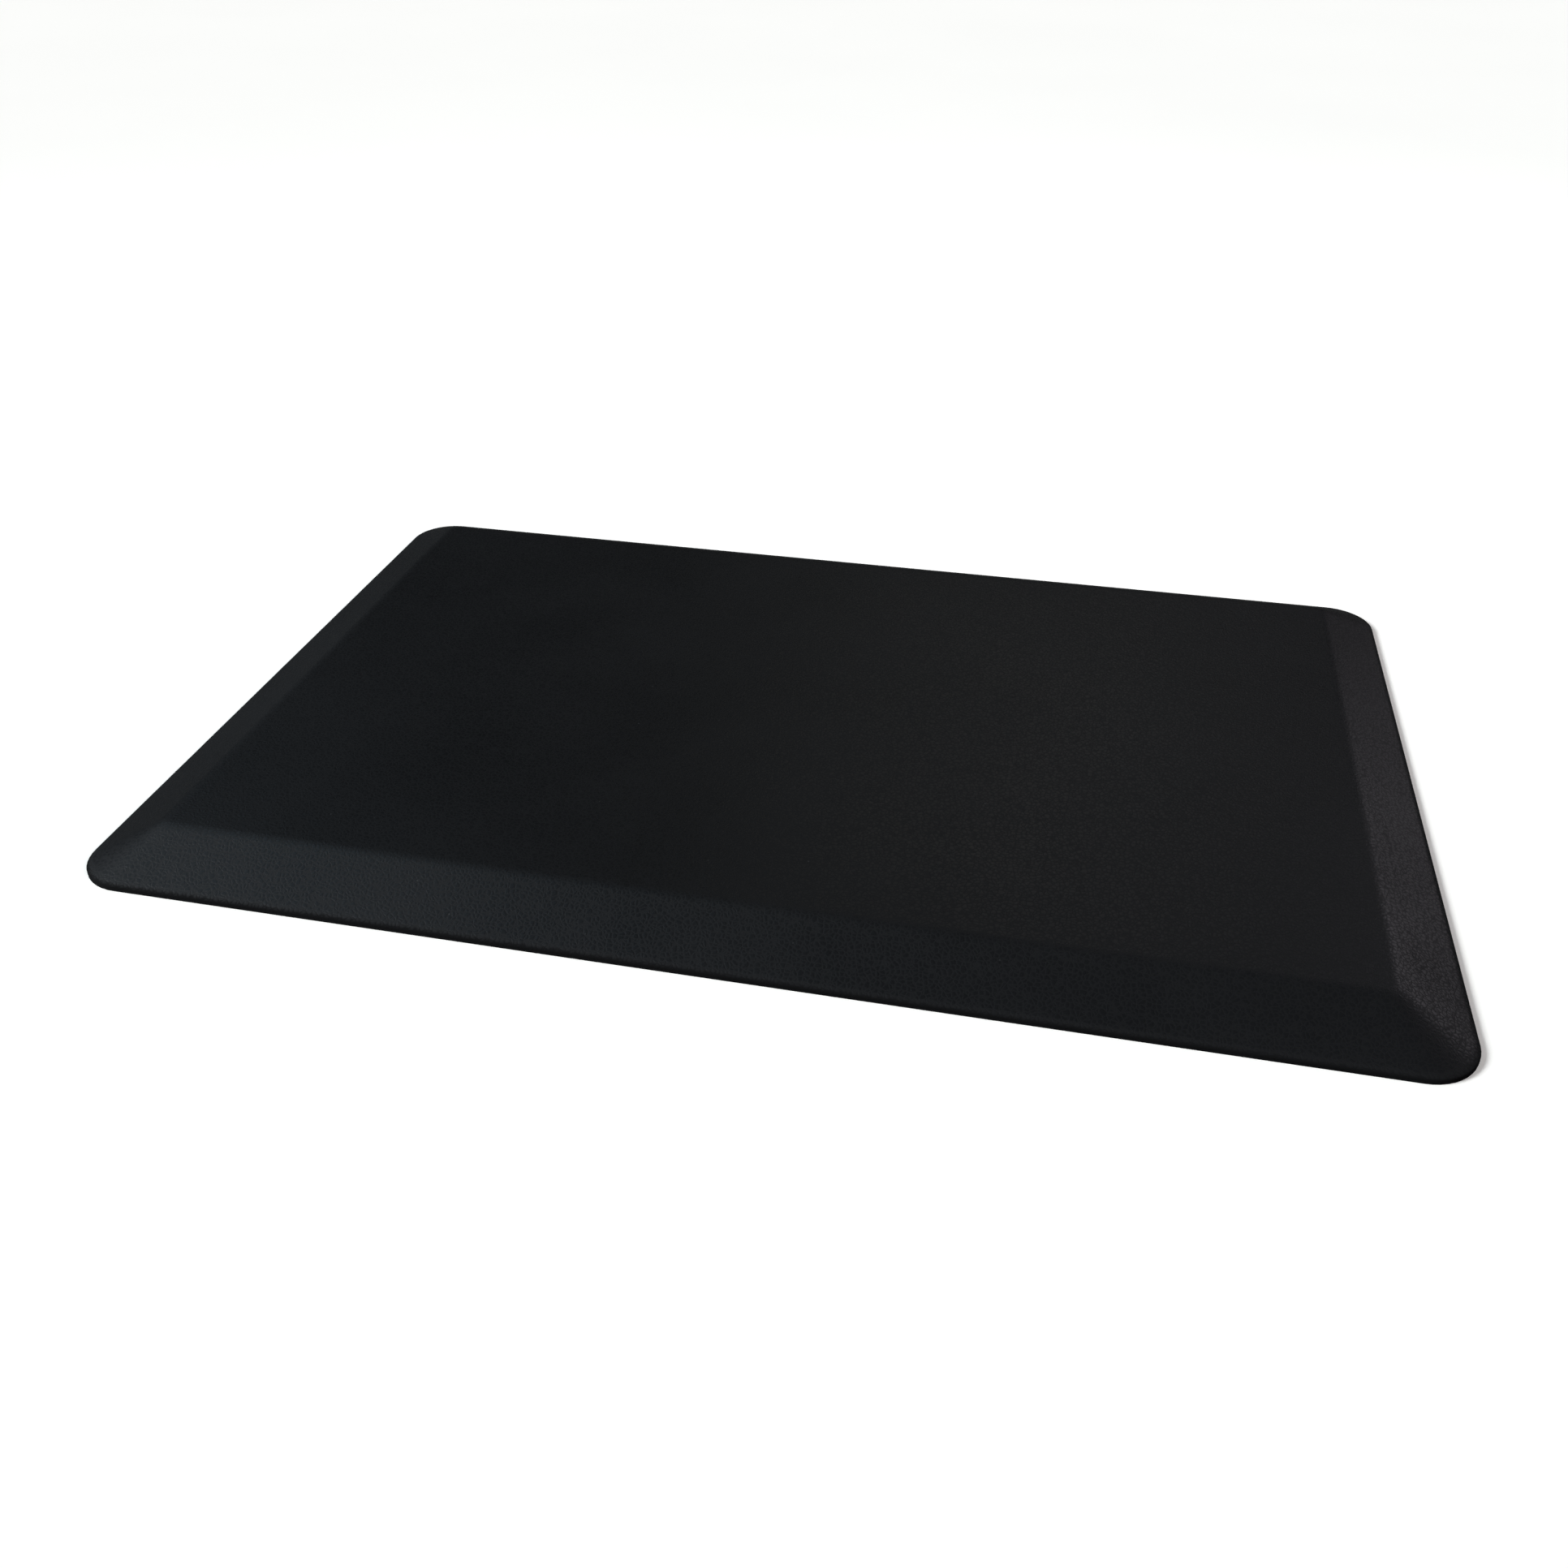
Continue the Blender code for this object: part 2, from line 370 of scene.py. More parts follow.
def make_sweep_tree():
    """Geometry tree that carries a section round the rounded rectangle and closes its middle."""
    sizes = [("Length", LENGTH), ("Width", WIDTH), ("Height", HEIGHT), ("Unevenness", 0.0),
             ("Patch Size", 0.2), ("Seed", 0.0)]
    steps = [("Corner Steps", 8), ("Long Steps", 16), ("Short Steps", 12)]
    inputs = [("Section", "NodeSocketGeometry", None)]
    inputs += [(label, "NodeSocketFloat", value) for label, value in sizes]
    inputs += [(label, "NodeSocketInt", value) for label, value in steps]
    inputs += [("Material", "NodeSocketMaterial", None)]
    tree, given, result = start_tree(
        "sweep round the outline", "GeometryNodeTree", inputs, [("Mesh", "NodeSocketGeometry")])

    domain = add(tree, "GeometryNodeAttributeDomainSize", {"Geometry": given["Section"]})
    count = domain.outputs["Point Count"]
    number = add(tree, "GeometryNodeInputIndex", {}).outputs[0]
    column = calc(tree, "FLOOR", calc(tree, "DIVIDE", calc(tree, "ADD", number, 0.5), count))
    row = calc(tree, "SUBTRACT", number, calc(tree, "MULTIPLY", column, count))
    inset, radius, height = section_point(tree, given, calc(tree, "ROUND", row))
    x, y, columns = place_on_outline(tree, given, column, inset, radius)
    grid = add(tree, "GeometryNodeMeshGrid",
               {"Vertices X": calc(tree, "ADD", columns, 1.0), "Vertices Y": count})
    place = add(tree, "ShaderNodeCombineXYZ", {0: x, 1: y, 2: height})
    swept = add(tree, "GeometryNodeSetPosition",
                {"Geometry": grid.outputs[0], "Position": place.outputs[0]})

    below = add(tree, "GeometryNodeFlipFaces", {"Mesh": middle_patch(tree, given, 0).outputs[0]})
    above = middle_patch(tree, given, calc(tree, "SUBTRACT", count, 1.0))
    joined = add(tree, "GeometryNodeJoinGeometry", {})
    for part in (swept, below, above):
        tree.links.new(part.outputs[0], joined.inputs[0])
    merged = add(tree, "GeometryNodeMergeByDistance",
                 {"Geometry": joined.outputs[0], "Distance": MERGE})
    settled = add(tree, "GeometryNodeSetPosition",
                  {"Geometry": merged.outputs[0], "Offset": rise_and_fall(tree, given)})
    real = add(tree, "GeometryNodeRealizeInstances", {0: settled.outputs[0]})
    coated = add(tree, "GeometryNodeSetMaterial",
                 {"Geometry": real.outputs[0], "Material": given["Material"]})
    tree.links.new(coated.outputs[0], result[0])
    return tree


sweep_tree = make_sweep_tree()
print("sweep tree:", len(sweep_tree.nodes), "nodes")

# %% [markdown]
# A tree is run by a modifier. Its inputs are set by each socket's identifier before the object is
# evaluated, the result is copied out as a plain mesh, and the modifier goes, so that what stays in
# the file is an ordinary mesh at the origin. Shading is smooth, with a hard edge wherever two faces
# meet at more than thirty degrees.

# %% Define how a layer is grown
SHARP = math.radians(30)


def section_mesh(name, levels):
    """Section as a chain of vertices: inset in X, corner radius in Y, height in Z."""
    mesh = bpy.data.meshes.new(name)
    points = [(inset, corner_radius(inset), height) for inset, height in levels]
    mesh.from_pydata(points, [(index, index + 1) for index in range(len(points) - 1)], [])
    return mesh


def run_tree(piece, tree, values):
    """Replaces the piece's mesh by what the tree makes of it with these input values."""
    modifier = piece.modifiers.new("rule", "NODES")
    modifier.node_group = tree
    for item in tree.interface.items_tree:
        if item.item_type == "SOCKET" and item.in_out == "INPUT" and item.name in values:
            modifier[item.identifier] = values[item.name]
    graph = bpy.context.evaluated_depsgraph_get()
    made = bpy.data.meshes.new_from_object(piece.evaluated_get(graph))
    piece.modifiers.remove(modifier)
    piece.data = made
    made.name = piece.name
    made.shade_smooth()
    made.set_sharp_from_angle(angle=SHARP)


def grow_layer(name, levels, material, corner_steps=12, long_steps=112, short_steps=74, unevenness=0.0):
    """New piece: the section carried round the mat's outline."""
    piece = bpy.data.objects.new(name, section_mesh(name, levels))
    bpy.context.scene.collection.objects.link(piece)
    run_tree(piece, sweep_tree, {
        "Corner Steps": corner_steps, "Long Steps": long_steps, "Short Steps": short_steps,
        "Unevenness": unevenness, "Patch Size": PATCH_SIZE, "Seed": UNEVEN_SEED, "Material": material,
    })
    return piece


def tell(piece):
    """Prints a piece's size and its number of triangles."""
    triangles = sum(len(face.vertices) - 2 for face in piece.data.polygons)
    print("%s: %.1f x %.1f x %.2f mm, %d triangles" % (
        piece.name, *(size / MM for size in piece.dimensions), triangles))


UNEVENNESS = 0.22 * MM
PATCH_SIZE = 0.21
UNEVEN_SEED = 3.0
print("the top rises and falls by up to %.2f mm" % (UNEVENNESS / MM))

# %% [markdown]
# ## Shared finishes
# Three effects are used by more than one layer, so each is a shader group built once. They read a
# place in the object's own coordinates and put out plain masks and values. The shaders themselves
# stay in the materials.
#
# The first is pebble grain, the print of a leather-grained mould. Voronoi cells make the pebbles, a
# wandering noise bends them so that no two match, and the distance to the cell's edge gives the
# crease between them.

# %% Build the pebble grain group
def make_pebble_group():
    """Grain of rounded pebbles with creases between them."""
    tree, given, result = start_tree("pebble grain", "ShaderNodeTree", [
        ("Place", "NodeSocketVector", None),
        ("Pebble Size", "NodeSocketFloat", 2.4 * MM),
        ("Wander", "NodeSocketFloat", 0.6),
        ("Crease Share", "NodeSocketFloat", 0.12),
        ("Fine Share", "NodeSocketFloat", 0.3),
    ], [("Height", "NodeSocketFloat"), ("Crease", "NodeSocketFloat"), ("Tone", "NodeSocketFloat")])

    scale = calc(tree, "DIVIDE", 1.0, given["Pebble Size"])
    bend = add(tree, "ShaderNodeTexNoise",
               {"Vector": given["Place"], "Scale": calc(tree, "MULTIPLY", scale, 0.4), "Detail": 2.0})
    centred = add(tree, "ShaderNodeVectorMath",
                  {0: bend.outputs["Color"], 1: (0.5, 0.5, 0.5)}, operation="SUBTRACT")
    reach = calc(tree, "MULTIPLY", given["Wander"], calc(tree, "MULTIPLY", given["Pebble Size"], 2.0))
    push = add(tree, "ShaderNodeVectorMath",
               {0: centred.outputs[0], "Scale": reach}, operation="SCALE").outputs[0]
    place = add(tree, "ShaderNodeVectorMath", {0: given["Place"], 1: push}, operation="ADD").outputs[0]

    cells = {"Vector": place, "Scale": scale, "Randomness": 0.85}
    edge = add(tree, "ShaderNodeTexVoronoi", cells, feature="DISTANCE_TO_EDGE").outputs["Distance"]
    cell = add(tree, "ShaderNodeTexVoronoi", cells, feature="F1").outputs["Color"]
    fine_scale = calc(tree, "MULTIPLY", scale, 2.6)
    fine = add(tree, "ShaderNodeTexNoise",
               {"Vector": place, "Scale": fine_scale, "Detail": 3.0, "Roughness": 0.6})
    pebble = span(tree, edge, 0.0, 0.34)
    crease = calc(tree, "SUBTRACT", 1.0, span(tree, edge, 0.0, given["Crease Share"]))
    rough = calc(tree, "MULTIPLY", calc(tree, "SUBTRACT", fine.outputs[0], 0.5), given["Fine Share"])
    tree.links.new(calc(tree, "ADD", pebble, rough), result["Height"])
    tree.links.new(crease, result["Crease"])
    tree.links.new(add(tree, "ShaderNodeSeparateXYZ", {0: cell}).outputs[0], result["Tone"])
    return tree


pebble_group = make_pebble_group()
print("pebble grain:", len(pebble_group.nodes), "nodes")

# %% [markdown]
# The second effect is drift: the slow difference in gloss and shade that every moulded or calendered
# skin has. The third is lint, the scatter of pale specks that any black surface collects within a day
# of being unpacked.

# %% Build the drift and lint groups
def make_drift_group():
    """Slow change between a low and a high value."""
    tree, given, result = start_tree("drift", "ShaderNodeTree", [
        ("Place", "NodeSocketVector", None),
        ("Patch Size", "NodeSocketFloat", 0.12),
        ("Low", "NodeSocketFloat", 0.0),
        ("High", "NodeSocketFloat", 1.0),
    ], [("Value", "NodeSocketFloat")])
    scale = calc(tree, "DIVIDE", 1.0, given["Patch Size"])
    noise = add(tree, "ShaderNodeTexNoise",
                {"Vector": given["Place"], "Scale": scale, "Detail": 4.0, "Roughness": 0.55})
    tree.links.new(span(tree, noise.outputs[0], 0.3, 0.7, given["Low"], given["High"]), result["Value"])
    return tree


def make_lint_group():
    """Sparse small specks, in a few places more than in others."""
    tree, given, result = start_tree("lint", "ShaderNodeTree", [
        ("Place", "NodeSocketVector", None),
        ("Spacing", "NodeSocketFloat", 18 * MM),
        ("Speck Share", "NodeSocketFloat", 0.05),
        ("Amount", "NodeSocketFloat", 0.3),
    ], [("Mask", "NodeSocketFloat")])
    scale = calc(tree, "DIVIDE", 1.0, given["Spacing"])
    specks = add(tree, "ShaderNodeTexVoronoi",
                 {"Vector": given["Place"], "Scale": scale, "Randomness": 1.0})
    away = span(tree, specks.outputs["Distance"], 0.0, given["Speck Share"])
    near = calc(tree, "SUBTRACT", 1.0, away)
    chance = add(tree, "ShaderNodeSeparateXYZ", {0: specks.outputs["Color"]}).outputs[1]
    kept = calc(tree, "GREATER_THAN", chance, 0.55)
    mask = calc(tree, "MULTIPLY", calc(tree, "MULTIPLY", near, kept), given["Amount"])
    tree.links.new(mask, result["Mask"])
    return tree


drift_group = make_drift_group()
lint_group = make_lint_group()
print("drift:", len(drift_group.nodes), "nodes; lint:", len(lint_group.nodes), "nodes")

# %% [markdown]
# ## The cover's skin
# The cover is a soft polyurethane skin: nearly black, very slightly blue, with a satin that is half
# way between dull and glossy. The pebbles catch the light; the creases are rougher, and their colour
# is painted darker as shade.
# Relief comes from the grain's height through a Bump node, because a pebble is three millimetres wide
# and tens of thousands of them would be too many to model. Towards the rim the skin turns duller, and
# its colour is painted darker as shade, which gives the mat its dark edge line.

# %% Make the skin material
def use(tree, group, inputs):
    """Places a shared group in a material and fills its inputs."""
    node = tree.nodes.new("ShaderNodeGroup")
    node.node_tree = group
    for label, value in inputs.items():
        if isinstance(value, bpy.types.NodeSocket):
            tree.links.new(value, node.inputs[label])
        else:
            node.inputs[label].default_value = value
    return node.outputs


def drift(tree, place, patch_size, low, high):
    """Slow change between two values, as a wire."""
    inputs = {"Place": place, "Patch Size": patch_size, "Low": low, "High": high}
    return use(tree, drift_group, inputs)["Value"]


def blend_colour(tree, share, first, second):
    """Colour between two others, as a wire."""
    node = add(tree, "ShaderNodeMix", {0: share}, data_type="RGBA")
    for index, colour in ((6, first), (7, second)):
        if isinstance(colour, bpy.types.NodeSocket):
            tree.links.new(colour, node.inputs[index])
        else:
            node.inputs[index].default_value = (*colour, 1)
    return node.outputs[2]


def start_material(name):
    """New material, its tree, its shader and a wire with the object's own coordinates."""
    material = bpy.data.materials.new(name)
    material.use_nodes = True
    tree = material.node_tree
    place = tree.nodes.new("ShaderNodeTexCoord").outputs["Object"]
    return material, tree, tree.nodes["Principled BSDF"], place


def relief(tree, shader, height, depth, strength):
    """Feeds a height into the shader's normal."""
    bump = add(tree, "ShaderNodeBump", {"Height": height, "Distance": depth, "Strength": strength})
    tree.links.new(bump.outputs[0], shader.inputs["Normal"])


# Below the first height the skin's colour is painted fully dark as shade and its roughness is highest;
# above the second, neither is changed.
SHADED_AND_DULL_BELOW = 3.4 * MM
CLEAR_ABOVE = 6.0 * MM
GRAIN_DEPTH = 0.28 * MM


def make_skin():
    """Grained black skin, with painted shade in the creases and towards the rim, where it is also
    duller.
    """
    material, tree, shader, place = start_material("grained black skin")
    grain = use(tree, pebble_group, {
        "Place": place, "Pebble Size": 3.2 * MM, "Wander": 0.7, "Crease Share": 0.2, "Fine Share": 0.1})
    shade = drift(tree, place, 0.16, 0.0, 1.0)
    specks = use(tree, lint_group, {"Place": place})["Mask"]

    pebble = blend_colour(tree, shade, (0.0056, 0.0058, 0.0063), (0.0070, 0.0072, 0.0077))
    paler = calc(tree, "MULTIPLY", grain["Tone"], 0.28)
    pebble = blend_colour(tree, paler, pebble, (0.0095, 0.0098, 0.0104))
    # The creases are painted darker than the pebbles, as shade.
    crease_painted_shade = calc(tree, "MULTIPLY", grain["Crease"], 0.5)
    skin = blend_colour(tree, crease_painted_shade, pebble, (0.0030, 0.0031, 0.0034))
    # Towards the rim the colour is painted darker, as shade for the dark edge line, and the skin is made
    # duller.
    height = add(tree, "ShaderNodeSeparateXYZ", {0: place}).outputs[2]
    rim = calc(tree, "SUBTRACT", 1.0, span(tree, height, SHADED_AND_DULL_BELOW, CLEAR_ABOVE))
    skin = blend_colour(tree, rim, skin, (0.0019, 0.0019, 0.0021))
    tree.links.new(blend_colour(tree, specks, skin, (0.10, 0.10, 0.10)), shader.inputs["Base Color"])

    satin = drift(tree, place, 0.09, 0.37, 0.43)
    dull = calc(tree, "MULTIPLY_ADD", grain["Crease"], 0.2, satin)
    tree.links.new(calc(tree, "MULTIPLY_ADD", rim, 0.6, dull), shader.inputs["Roughness"])
    shader.inputs["Specular IOR Level"].default_value = 0.2
    relief(tree, shader, grain["Height"], GRAIN_DEPTH, 0.24)
    return material


skin_material = make_skin()
print("skin material:", len(skin_material.node_tree.nodes), "nodes")

# %% [markdown]
# ## The inner materials
# The base sheet is black rubber with a dull bloom, and its grain is finer than the cover's. The foam
# is charcoal and full of small cells that open where it was cut, and the hollows of the cells are
# painted darker as shade. The bonding film is a cloudy, honey-coloured adhesive, with faint streaks
# along the direction it was rolled out in.

# %% Make the rubber, foam and film materials
def make_rubber():
    """Black rubber with a dull bloom and a fine grain."""
    material, tree, shader, place = start_material("dull black rubber")
    grain = use(tree, pebble_group,
                {"Place": place, "Pebble Size": 1.6 * MM, "Wander": 0.4, "Fine Share": 0.6})
    bloom = drift(tree, place, 0.05, 0.0, 1.0)
    specks = use(tree, lint_group, {"Place": place, "Spacing": 12 * MM, "Amount": 0.4})["Mask"]
    black = blend_colour(tree, bloom, (0.0026, 0.0026, 0.0029), (0.0048, 0.0048, 0.0053))
    tree.links.new(blend_colour(tree, specks, black, (0.12, 0.12, 0.11)), shader.inputs["Base Color"])
    tree.links.new(calc(tree, "MULTIPLY_ADD", bloom, 0.12, 0.72), shader.inputs["Roughness"])
    shader.inputs["Specular IOR Level"].default_value = 0.1
    relief(tree, shader, grain["Height"], 0.12 * MM, 0.5)
    return material


def make_foam():
    """Charcoal foam with small cut-open cells, their hollows painted darker as shade."""
    material, tree, shader, place = start_material("charcoal foam")
    cells = use(tree, pebble_group, {
        "Place": place, "Pebble Size": 1.3 * MM, "Wander": 0.25, "Crease Share": 0.3, "Fine Share": 0.4})
    shade = drift(tree, place, 0.03, 0.2, 0.8)
    wall = blend_colour(tree, shade, (0.048, 0.049, 0.052), (0.066, 0.067, 0.071))
    # The hollows of the cells are painted darker than their walls, as shade.
    foam = blend_colour(tree, calc(tree, "SUBTRACT", 1.0, cells["Crease"]), wall, (0.030, 0.031, 0.033))
    tree.links.new(foam, shader.inputs["Base Color"])
    tree.links.new(calc(tree, "MULTIPLY_ADD", shade, 0.06, 0.90), shader.inputs["Roughness"])
    relief(tree, shader, cells["Crease"], 0.3 * MM, 0.6)
    return material


def make_adhesive():
    """Cloudy, honey-coloured adhesive, streaked along its length."""
    material, tree, shader, place = start_material("cloudy adhesive")
    rolled = add(tree, "ShaderNodeMapping", {"Vector": place, "Scale": (1.0, 14.0, 14.0)}).outputs[0]
    streaks = drift(tree, rolled, 0.08, 0.0, 1.0)
    cloud = drift(tree, place, 0.02, 0.0, 0.6)
    honey = blend_colour(tree, streaks, (0.58, 0.52, 0.38), (0.66, 0.62, 0.50))
    tree.links.new(blend_colour(tree, cloud, honey, (0.70, 0.67, 0.58)), shader.inputs["Base Color"])
    tree.links.new(calc(tree, "MULTIPLY_ADD", streaks, 0.15, 0.28), shader.inputs["Roughness"])
    relief(tree, shader, streaks, 0.05 * MM, 0.4)
    return material


rubber_material = make_rubber()
foam_material = make_foam()
film_material = make_adhesive()
print("materials:", [material.name for material in (rubber_material, foam_material, film_material)])

# %% [markdown]
# ## The cover
# The cover is a tray turned upside down: an even wall over the foam, a solid flange where it is
# bonded to the base, and a lip that hides the film's edge. Its section starts under the middle of the
# ceiling, runs out and down the inside, round the flange and the lip, then up the outside and in over
# the top. The lip's lower edge is broken by a small round, and a larger one rolls it onto the slope.

# %% Grow the cover
RIM_RADIUS = 1.2 * MM
EDGE_BREAK = 0.25 * MM
SLOPE_START = 6 * MM
LIP_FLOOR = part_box("top_cover")[0].z


def cover_section():
    """Round the tray: its inside, the flange and the lip, then its outside."""
    inside = list(reversed(rise(FLANGE_WIDTH, COVER_WALL)))
    flange = [(FLANGE_WIDTH, FOAM_FLOOR), (LIP_WIDTH, FOAM_FLOOR), (LIP_WIDTH, LIP_FLOOR)]
    low = quarter_turn((EDGE_BREAK, LIP_FLOOR + EDGE_BREAK), EDGE_BREAK, 270, 180, 3)
    roll_centre = (RIM_RADIUS, slope_height(RIM_RADIUS, RIM_RADIUS))
    roll = quarter_turn(roll_centre, RIM_RADIUS, 180, 90 + math.degrees(SLOPE), 7)
    return inside + flange + low + roll + rise(SLOPE_START, 0)


cover_skin = grow_layer("cover_skin", cover_section(), skin_material, unevenness=UNEVENNESS)
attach(cover_skin, "root")
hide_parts("top_cover")
tell(cover_skin)

# %% [markdown]
# ## The film under the cover, and the foam
# The film is the thinnest layer, so it is grown as a closed sheet with two parallel faces. The foam
# is a slab cut from sheet stock with its edges ground to the slope. Both follow the same slow rise
# and fall as the cover, because the tree shifts by place alone.

# %% Grow the film and the foam
def film_section():
    """Out along the film's lower face and back in over its upper one."""
    inside = list(reversed(rise(FOAM_INSET, FILM_DEPTH + FILM_WALL)))
    return inside + rise(FOAM_INSET, FILM_DEPTH)


def foam_section():
    """The slab's flat bottom, its square foot, then its slope and top."""
    bottom = [(PATCH_INSET, FOAM_FLOOR), (FOAM_INSET, FOAM_FLOOR)]
    return bottom + rise(FOAM_INSET, FOAM_DEPTH)


upper_film = grow_layer("upper_film", film_section(), film_material, long_steps=56, short_steps=38,
                        unevenness=UNEVENNESS)
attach(upper_film, "root")
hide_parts("cover_bond_film")
tell(upper_film)

foam_slab = grow_layer("foam_slab", foam_section(), foam_material, long_steps=56, short_steps=38,
                       unevenness=UNEVENNESS)
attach(foam_slab, "root")
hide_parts("foam_core")
tell(foam_slab)

# %% [markdown]
# ## The base sheet and its grip
# The base sheet is what keeps the mat from sliding. A smooth band runs round it under the slopes, and
# the field inside the band is pressed into low square studs that stand on the floor. Four thousand
# studs could be instances, but then each would be a loose body. Extruding and shrinking the cells of
# the sheet's own grid keeps the sheet and its studs one closed skin.

# %% Build the stud tree
STUD_HEIGHT = 0.6 * MM
STUD_SIZE = 10 * MM


def make_stud_tree():
    """Geometry tree that presses each cell of the recessed field into a stud."""
    tree, given, result = start_tree("press the studs", "GeometryNodeTree", [
        ("Sheet", "NodeSocketGeometry", None),
        ("Field Height", "NodeSocketFloat", STUD_HEIGHT),
        ("Groove Share", "NodeSocketFloat", 0.14),
        ("Draft Share", "NodeSocketFloat", 0.10),
        ("Edge Break", "NodeSocketFloat", EDGE_BREAK / 2),
        ("Material", "NodeSocketMaterial", None),
    ], [("Mesh", "NodeSocketGeometry")])
    position = add(tree, "GeometryNodeInputPosition", {}).outputs[0]
    z = add(tree, "ShaderNodeSeparateXYZ", {0: position}).outputs[2]
    off = calc(tree, "ABSOLUTE", calc(tree, "SUBTRACT", z, given["Field Height"]))
    field = calc(tree, "LESS_THAN", off, SAME)
    body = calc(tree, "SUBTRACT", given["Field Height"], given["Edge Break"])
    shrink_groove = calc(tree, "SUBTRACT", 1.0, given["Groove Share"])
    shrink_draft = calc(tree, "SUBTRACT", 1.0, given["Draft Share"])

    mesh, chosen = given["Sheet"], field
    for push, shrink in ((0.0, shrink_groove), (body, shrink_draft), (given["Edge Break"], 0.95)):
        pushed = add(tree, "GeometryNodeExtrudeMesh", {
            "Mesh": mesh, "Selection": chosen, "Offset Scale": push, "Individual": True}, mode="FACES")
        chosen = pushed.outputs["Top"]
        shrunk = add(tree, "GeometryNodeScaleElements", {
            "Geometry": pushed.outputs["Mesh"], "Selection": chosen, "Scale": shrink}, domain="FACE")
        mesh = shrunk.outputs[0]
    real = add(tree, "GeometryNodeRealizeInstances", {0: mesh})
    coated = add(tree, "GeometryNodeSetMaterial",
                 {"Geometry": real.outputs[0], "Material": given["Material"]})
    tree.links.new(coated.outputs[0], result[0])
    return tree


stud_tree = make_stud_tree()
print("stud tree:", len(stud_tree.nodes), "nodes")

# %% Grow the base sheet and press its studs
def sheet_section():
    """The recessed field, the smooth band round it, the cut edge and the top."""
    field = [(PATCH_INSET, STUD_HEIGHT), (PATCH_INSET - STUD_HEIGHT, 0)]
    low = quarter_turn((EDGE_BREAK, EDGE_BREAK), EDGE_BREAK, 270, 180, 3)
    high = quarter_turn((EDGE_BREAK, BASE_TOP - EDGE_BREAK), EDGE_BREAK, 180, 90, 3)
    return field + low + high + [(PATCH_INSET, BASE_TOP)]


grip_sheet = grow_layer(
    "grip_sheet", sheet_section(), rubber_material,
    long_steps=round((LENGTH - 2 * PATCH_INSET) / STUD_SIZE),
    short_steps=round((WIDTH - 2 * PATCH_INSET) / STUD_SIZE))
run_tree(grip_sheet, stud_tree, {"Field Height": STUD_HEIGHT, "Material": rubber_material})
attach(grip_sheet, "root")
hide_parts("base_sheet")
tell(grip_sheet)

# %% [markdown]
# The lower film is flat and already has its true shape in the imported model, so it stays as it is and
# only gets the adhesive's finish.

# %% Coat the lower film
lower_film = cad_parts["base_bond_film"]
lower_film.data.materials.clear()
lower_film.data.materials.append(film_material)
print("lower film: finish", lower_film.data.materials[0].name)

# %% [markdown]
# ## The floor
# The mat lies on a plain pale floor. To the eye the floor is nearly white, but a floor that white
# would also throw its light back under the rim and up the slopes, and a black mat would turn grey. So
# the floor is pale where the camera sees it and dim where it lights the mat. A faint glow, seen by
# the camera alone, takes the last grey out of it, and its slightly warm tint evens out the cool
# light.

# %% Make the floor
FLOOR_SIZE = 160.0
FLOOR_SEEN = 0.96
FLOOR_BOUNCE = 0.10
FLOOR_GLOW = 0.25
FLOOR_TINT = (1.0, 0.965, 0.90)


def make_floor():
    """Wide pale plane just under the mat."""
    mesh = bpy.data.meshes.new("floor")
    half = FLOOR_SIZE / 2
    corners = [(-half, -half, 0), (half, -half, 0), (half, half, 0), (-half, half, 0)]
    mesh.from_pydata(corners, [], [(0, 1, 2, 3)])
    floor = bpy.data.objects.new("floor", mesh)
    floor.location.z = -0.1 * MM
    bpy.context.scene.collection.objects.link(floor)
    material, tree, shader, place = start_material("pale floor")
    tone = drift(tree, place, 0.8, 0.985, 1.0)
    seen = add(tree, "ShaderNodeLightPath", {}).outputs["Is Camera Ray"]
    share = calc(tree, "MULTIPLY_ADD", seen, FLOOR_SEEN - FLOOR_BOUNCE, FLOOR_BOUNCE)
    pale = calc(tree, "MULTIPLY", share, tone)
    warm = add(tree, "ShaderNodeVectorMath", {0: FLOOR_TINT, "Scale": pale}, operation="SCALE")
    tree.links.new(warm.outputs[0], shader.inputs["Base Color"])
    tree.links.new(calc(tree, "MULTIPLY", seen, FLOOR_GLOW), shader.inputs["Emission Color"])
    shader.inputs["Emission Strength"].default_value = 1.0
    shader.inputs["Roughness"].default_value = 1.0
    shader.inputs["Specular IOR Level"].default_value = 0.0
    mesh.materials.append(material)
    return floor


floor = make_floor()
print("floor: %.0f m square" % FLOOR_SIZE)

# %% [markdown]
# ## The lights
# A black mat shows its form only by what it mirrors, so each light is placed for the face that
# mirrors it. Two wide suns keep the floor even: a strong one from the left, and a weak one from the
# right that opens up the shadows. Two cool panels on the left show in the left slope and in the left
# end of the near slope. A rosy one at the right shows in the right slope, and two higher ones behind
# lift the level top. Every light is placed by its bearing from the front and its height in degrees.

# %% Make the lights
LIGHT_DISTANCE = 2.2
SUN_WIDTH = math.radians(22)
PANEL_SIZE = 0.9


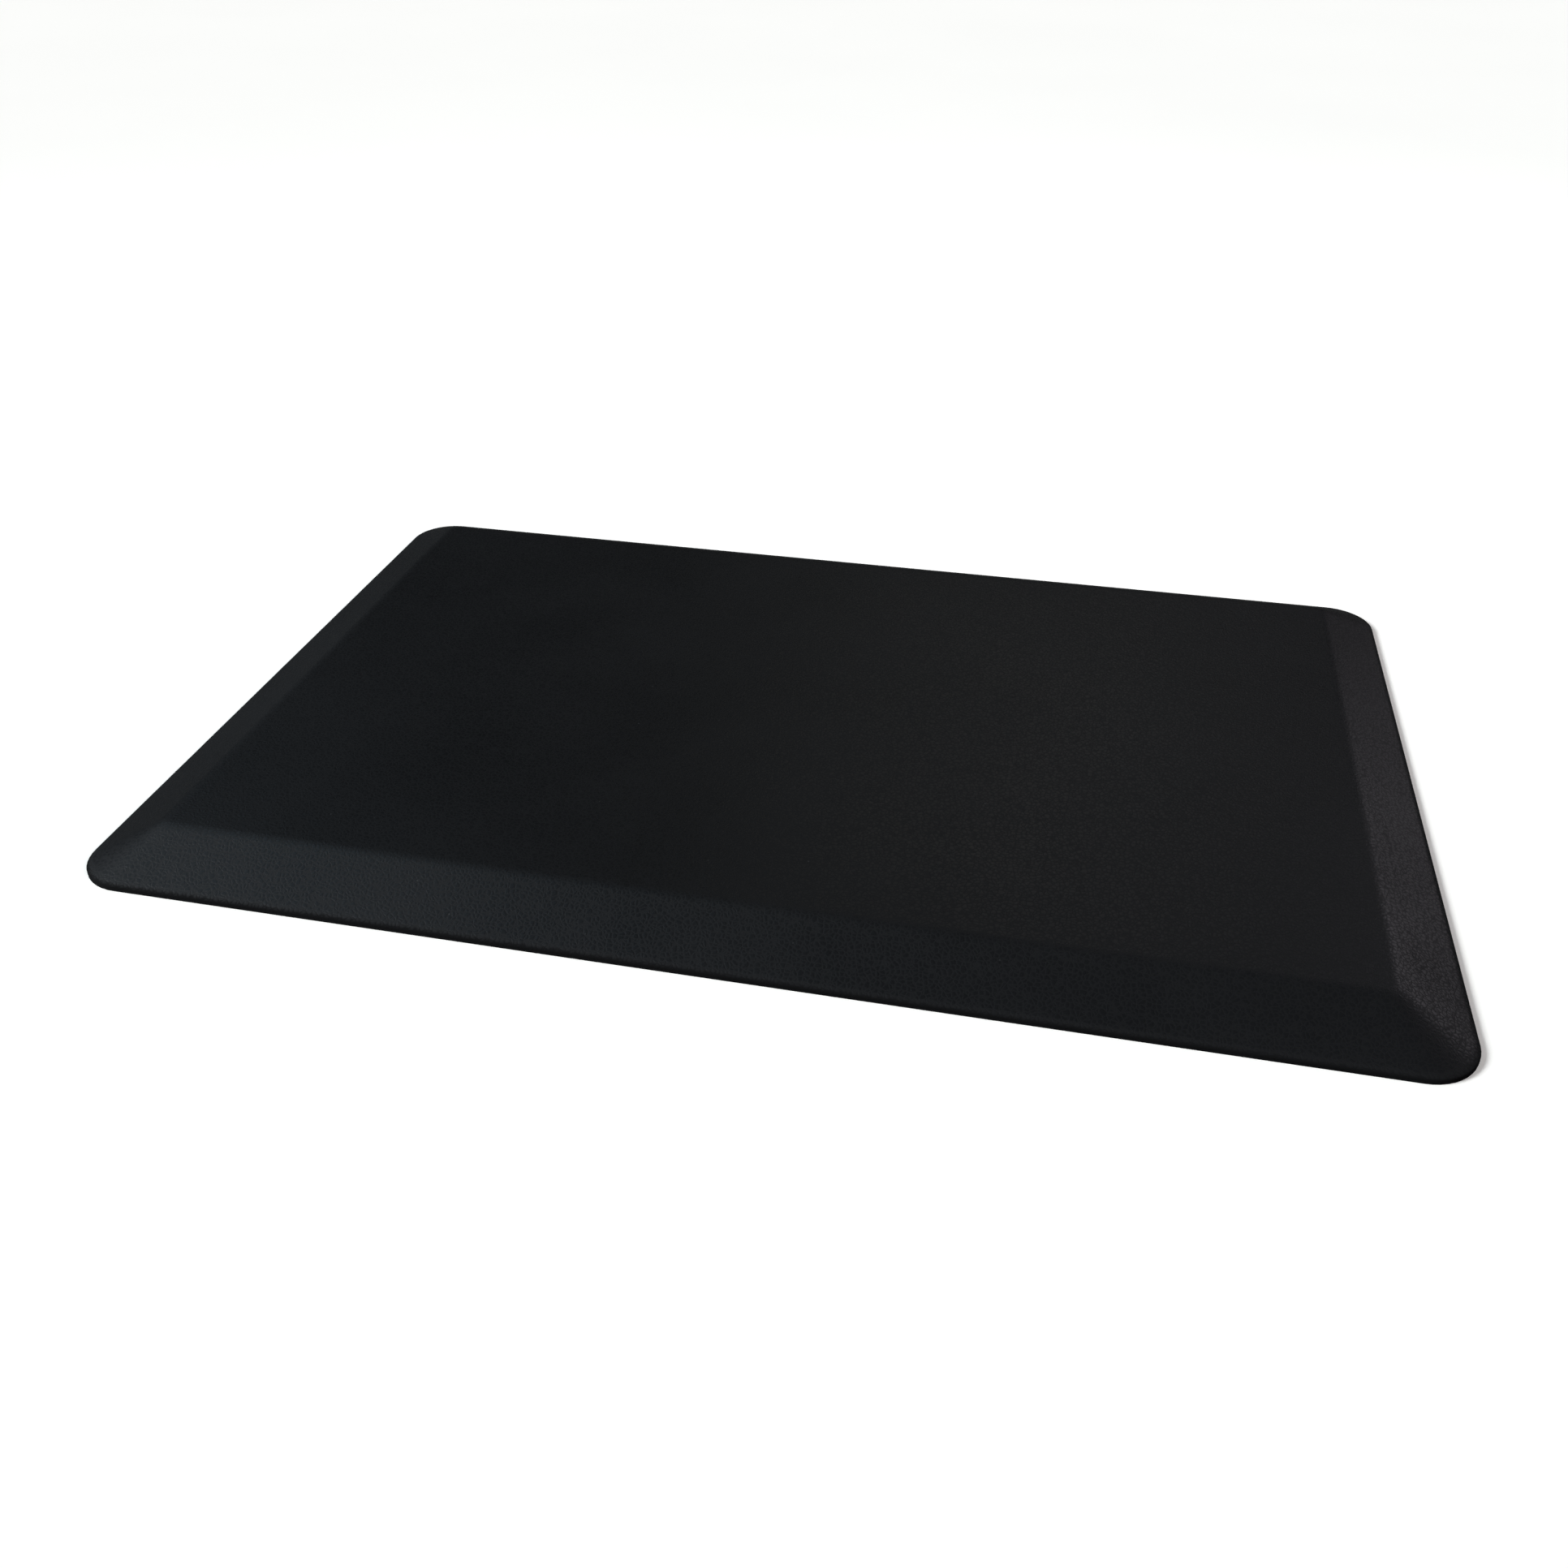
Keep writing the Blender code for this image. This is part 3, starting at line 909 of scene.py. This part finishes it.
def towards(bearing, elevation):
    """Unit direction at this bearing from the front, positive to the right, and this elevation."""
    turn, lift = math.radians(bearing), math.radians(elevation)
    return Vector((math.sin(turn) * math.cos(lift), -math.cos(turn) * math.cos(lift), math.sin(lift)))


def make_light(name, kind, bearing, elevation, strength, colour):
    """Light that shines at the middle of the mat from this direction."""
    direction = towards(bearing, elevation)
    light = bpy.data.objects.new(name, bpy.data.lights.new(name, kind))
    light.data.energy = strength
    light.data.color = colour
    light.location = LIGHT_DISTANCE * direction
    light.rotation_euler = direction.to_track_quat("Z", "Y").to_euler()
    bpy.context.scene.collection.objects.link(light)
    return light.data


for name, bearing, elevation, strength, colour in (
        ("left sun", -65, 30, 4.5, (0.89, 0.95, 1.0)),
        ("right sun", 60, 30, 0.75, (1.0, 0.93, 0.96))):
    make_light(name, "SUN", bearing, elevation, strength, colour).angle = SUN_WIDTH
for name, bearing, elevation, strength, colour in (
        ("left panel", -90, 55, 2.7, (0.50, 0.79, 1.0)),
        ("back left panel", -110, 38, 2.4, (0.71, 0.865, 1.0)),
        ("right panel", 127, 24, 4.5, (0.98, 0.92, 1.0)),
        ("back right panel", 165, 40, 0.88, (1.0, 0.94, 0.98)),
        ("back panel", 180, 40, 1.21, (1.0, 0.98, 0.87))):
    make_light(name, "AREA", bearing, elevation, strength, colour).size = PANEL_SIZE

# %% [markdown]
# The room beyond the floor gives no light of its own, because a bright room would grey the black. The
# camera sees it pale, so that a low view shows a pale wall.

# %% Make the room
ROOM_LIGHT = 0.0
ROOM_SEEN = 0.90


def make_room():
    """World that is pale to the camera and dark to everything else."""
    world = bpy.data.worlds.new("room")
    world.use_nodes = True
    tree = world.node_tree
    seen = add(tree, "ShaderNodeLightPath", {}).outputs["Is Camera Ray"]
    strength = calc(tree, "MULTIPLY_ADD", seen, ROOM_SEEN - ROOM_LIGHT, ROOM_LIGHT)
    tree.links.new(strength, tree.nodes["Background"].inputs["Strength"])
    tree.nodes["Background"].inputs["Color"].default_value = (1, 1, 1, 1)
    bpy.context.scene.world = world


make_room()
bpy.context.scene.view_settings.view_transform = "Standard"
print("room light %.2f, seen as %.2f" % (ROOM_LIGHT, ROOM_SEEN))
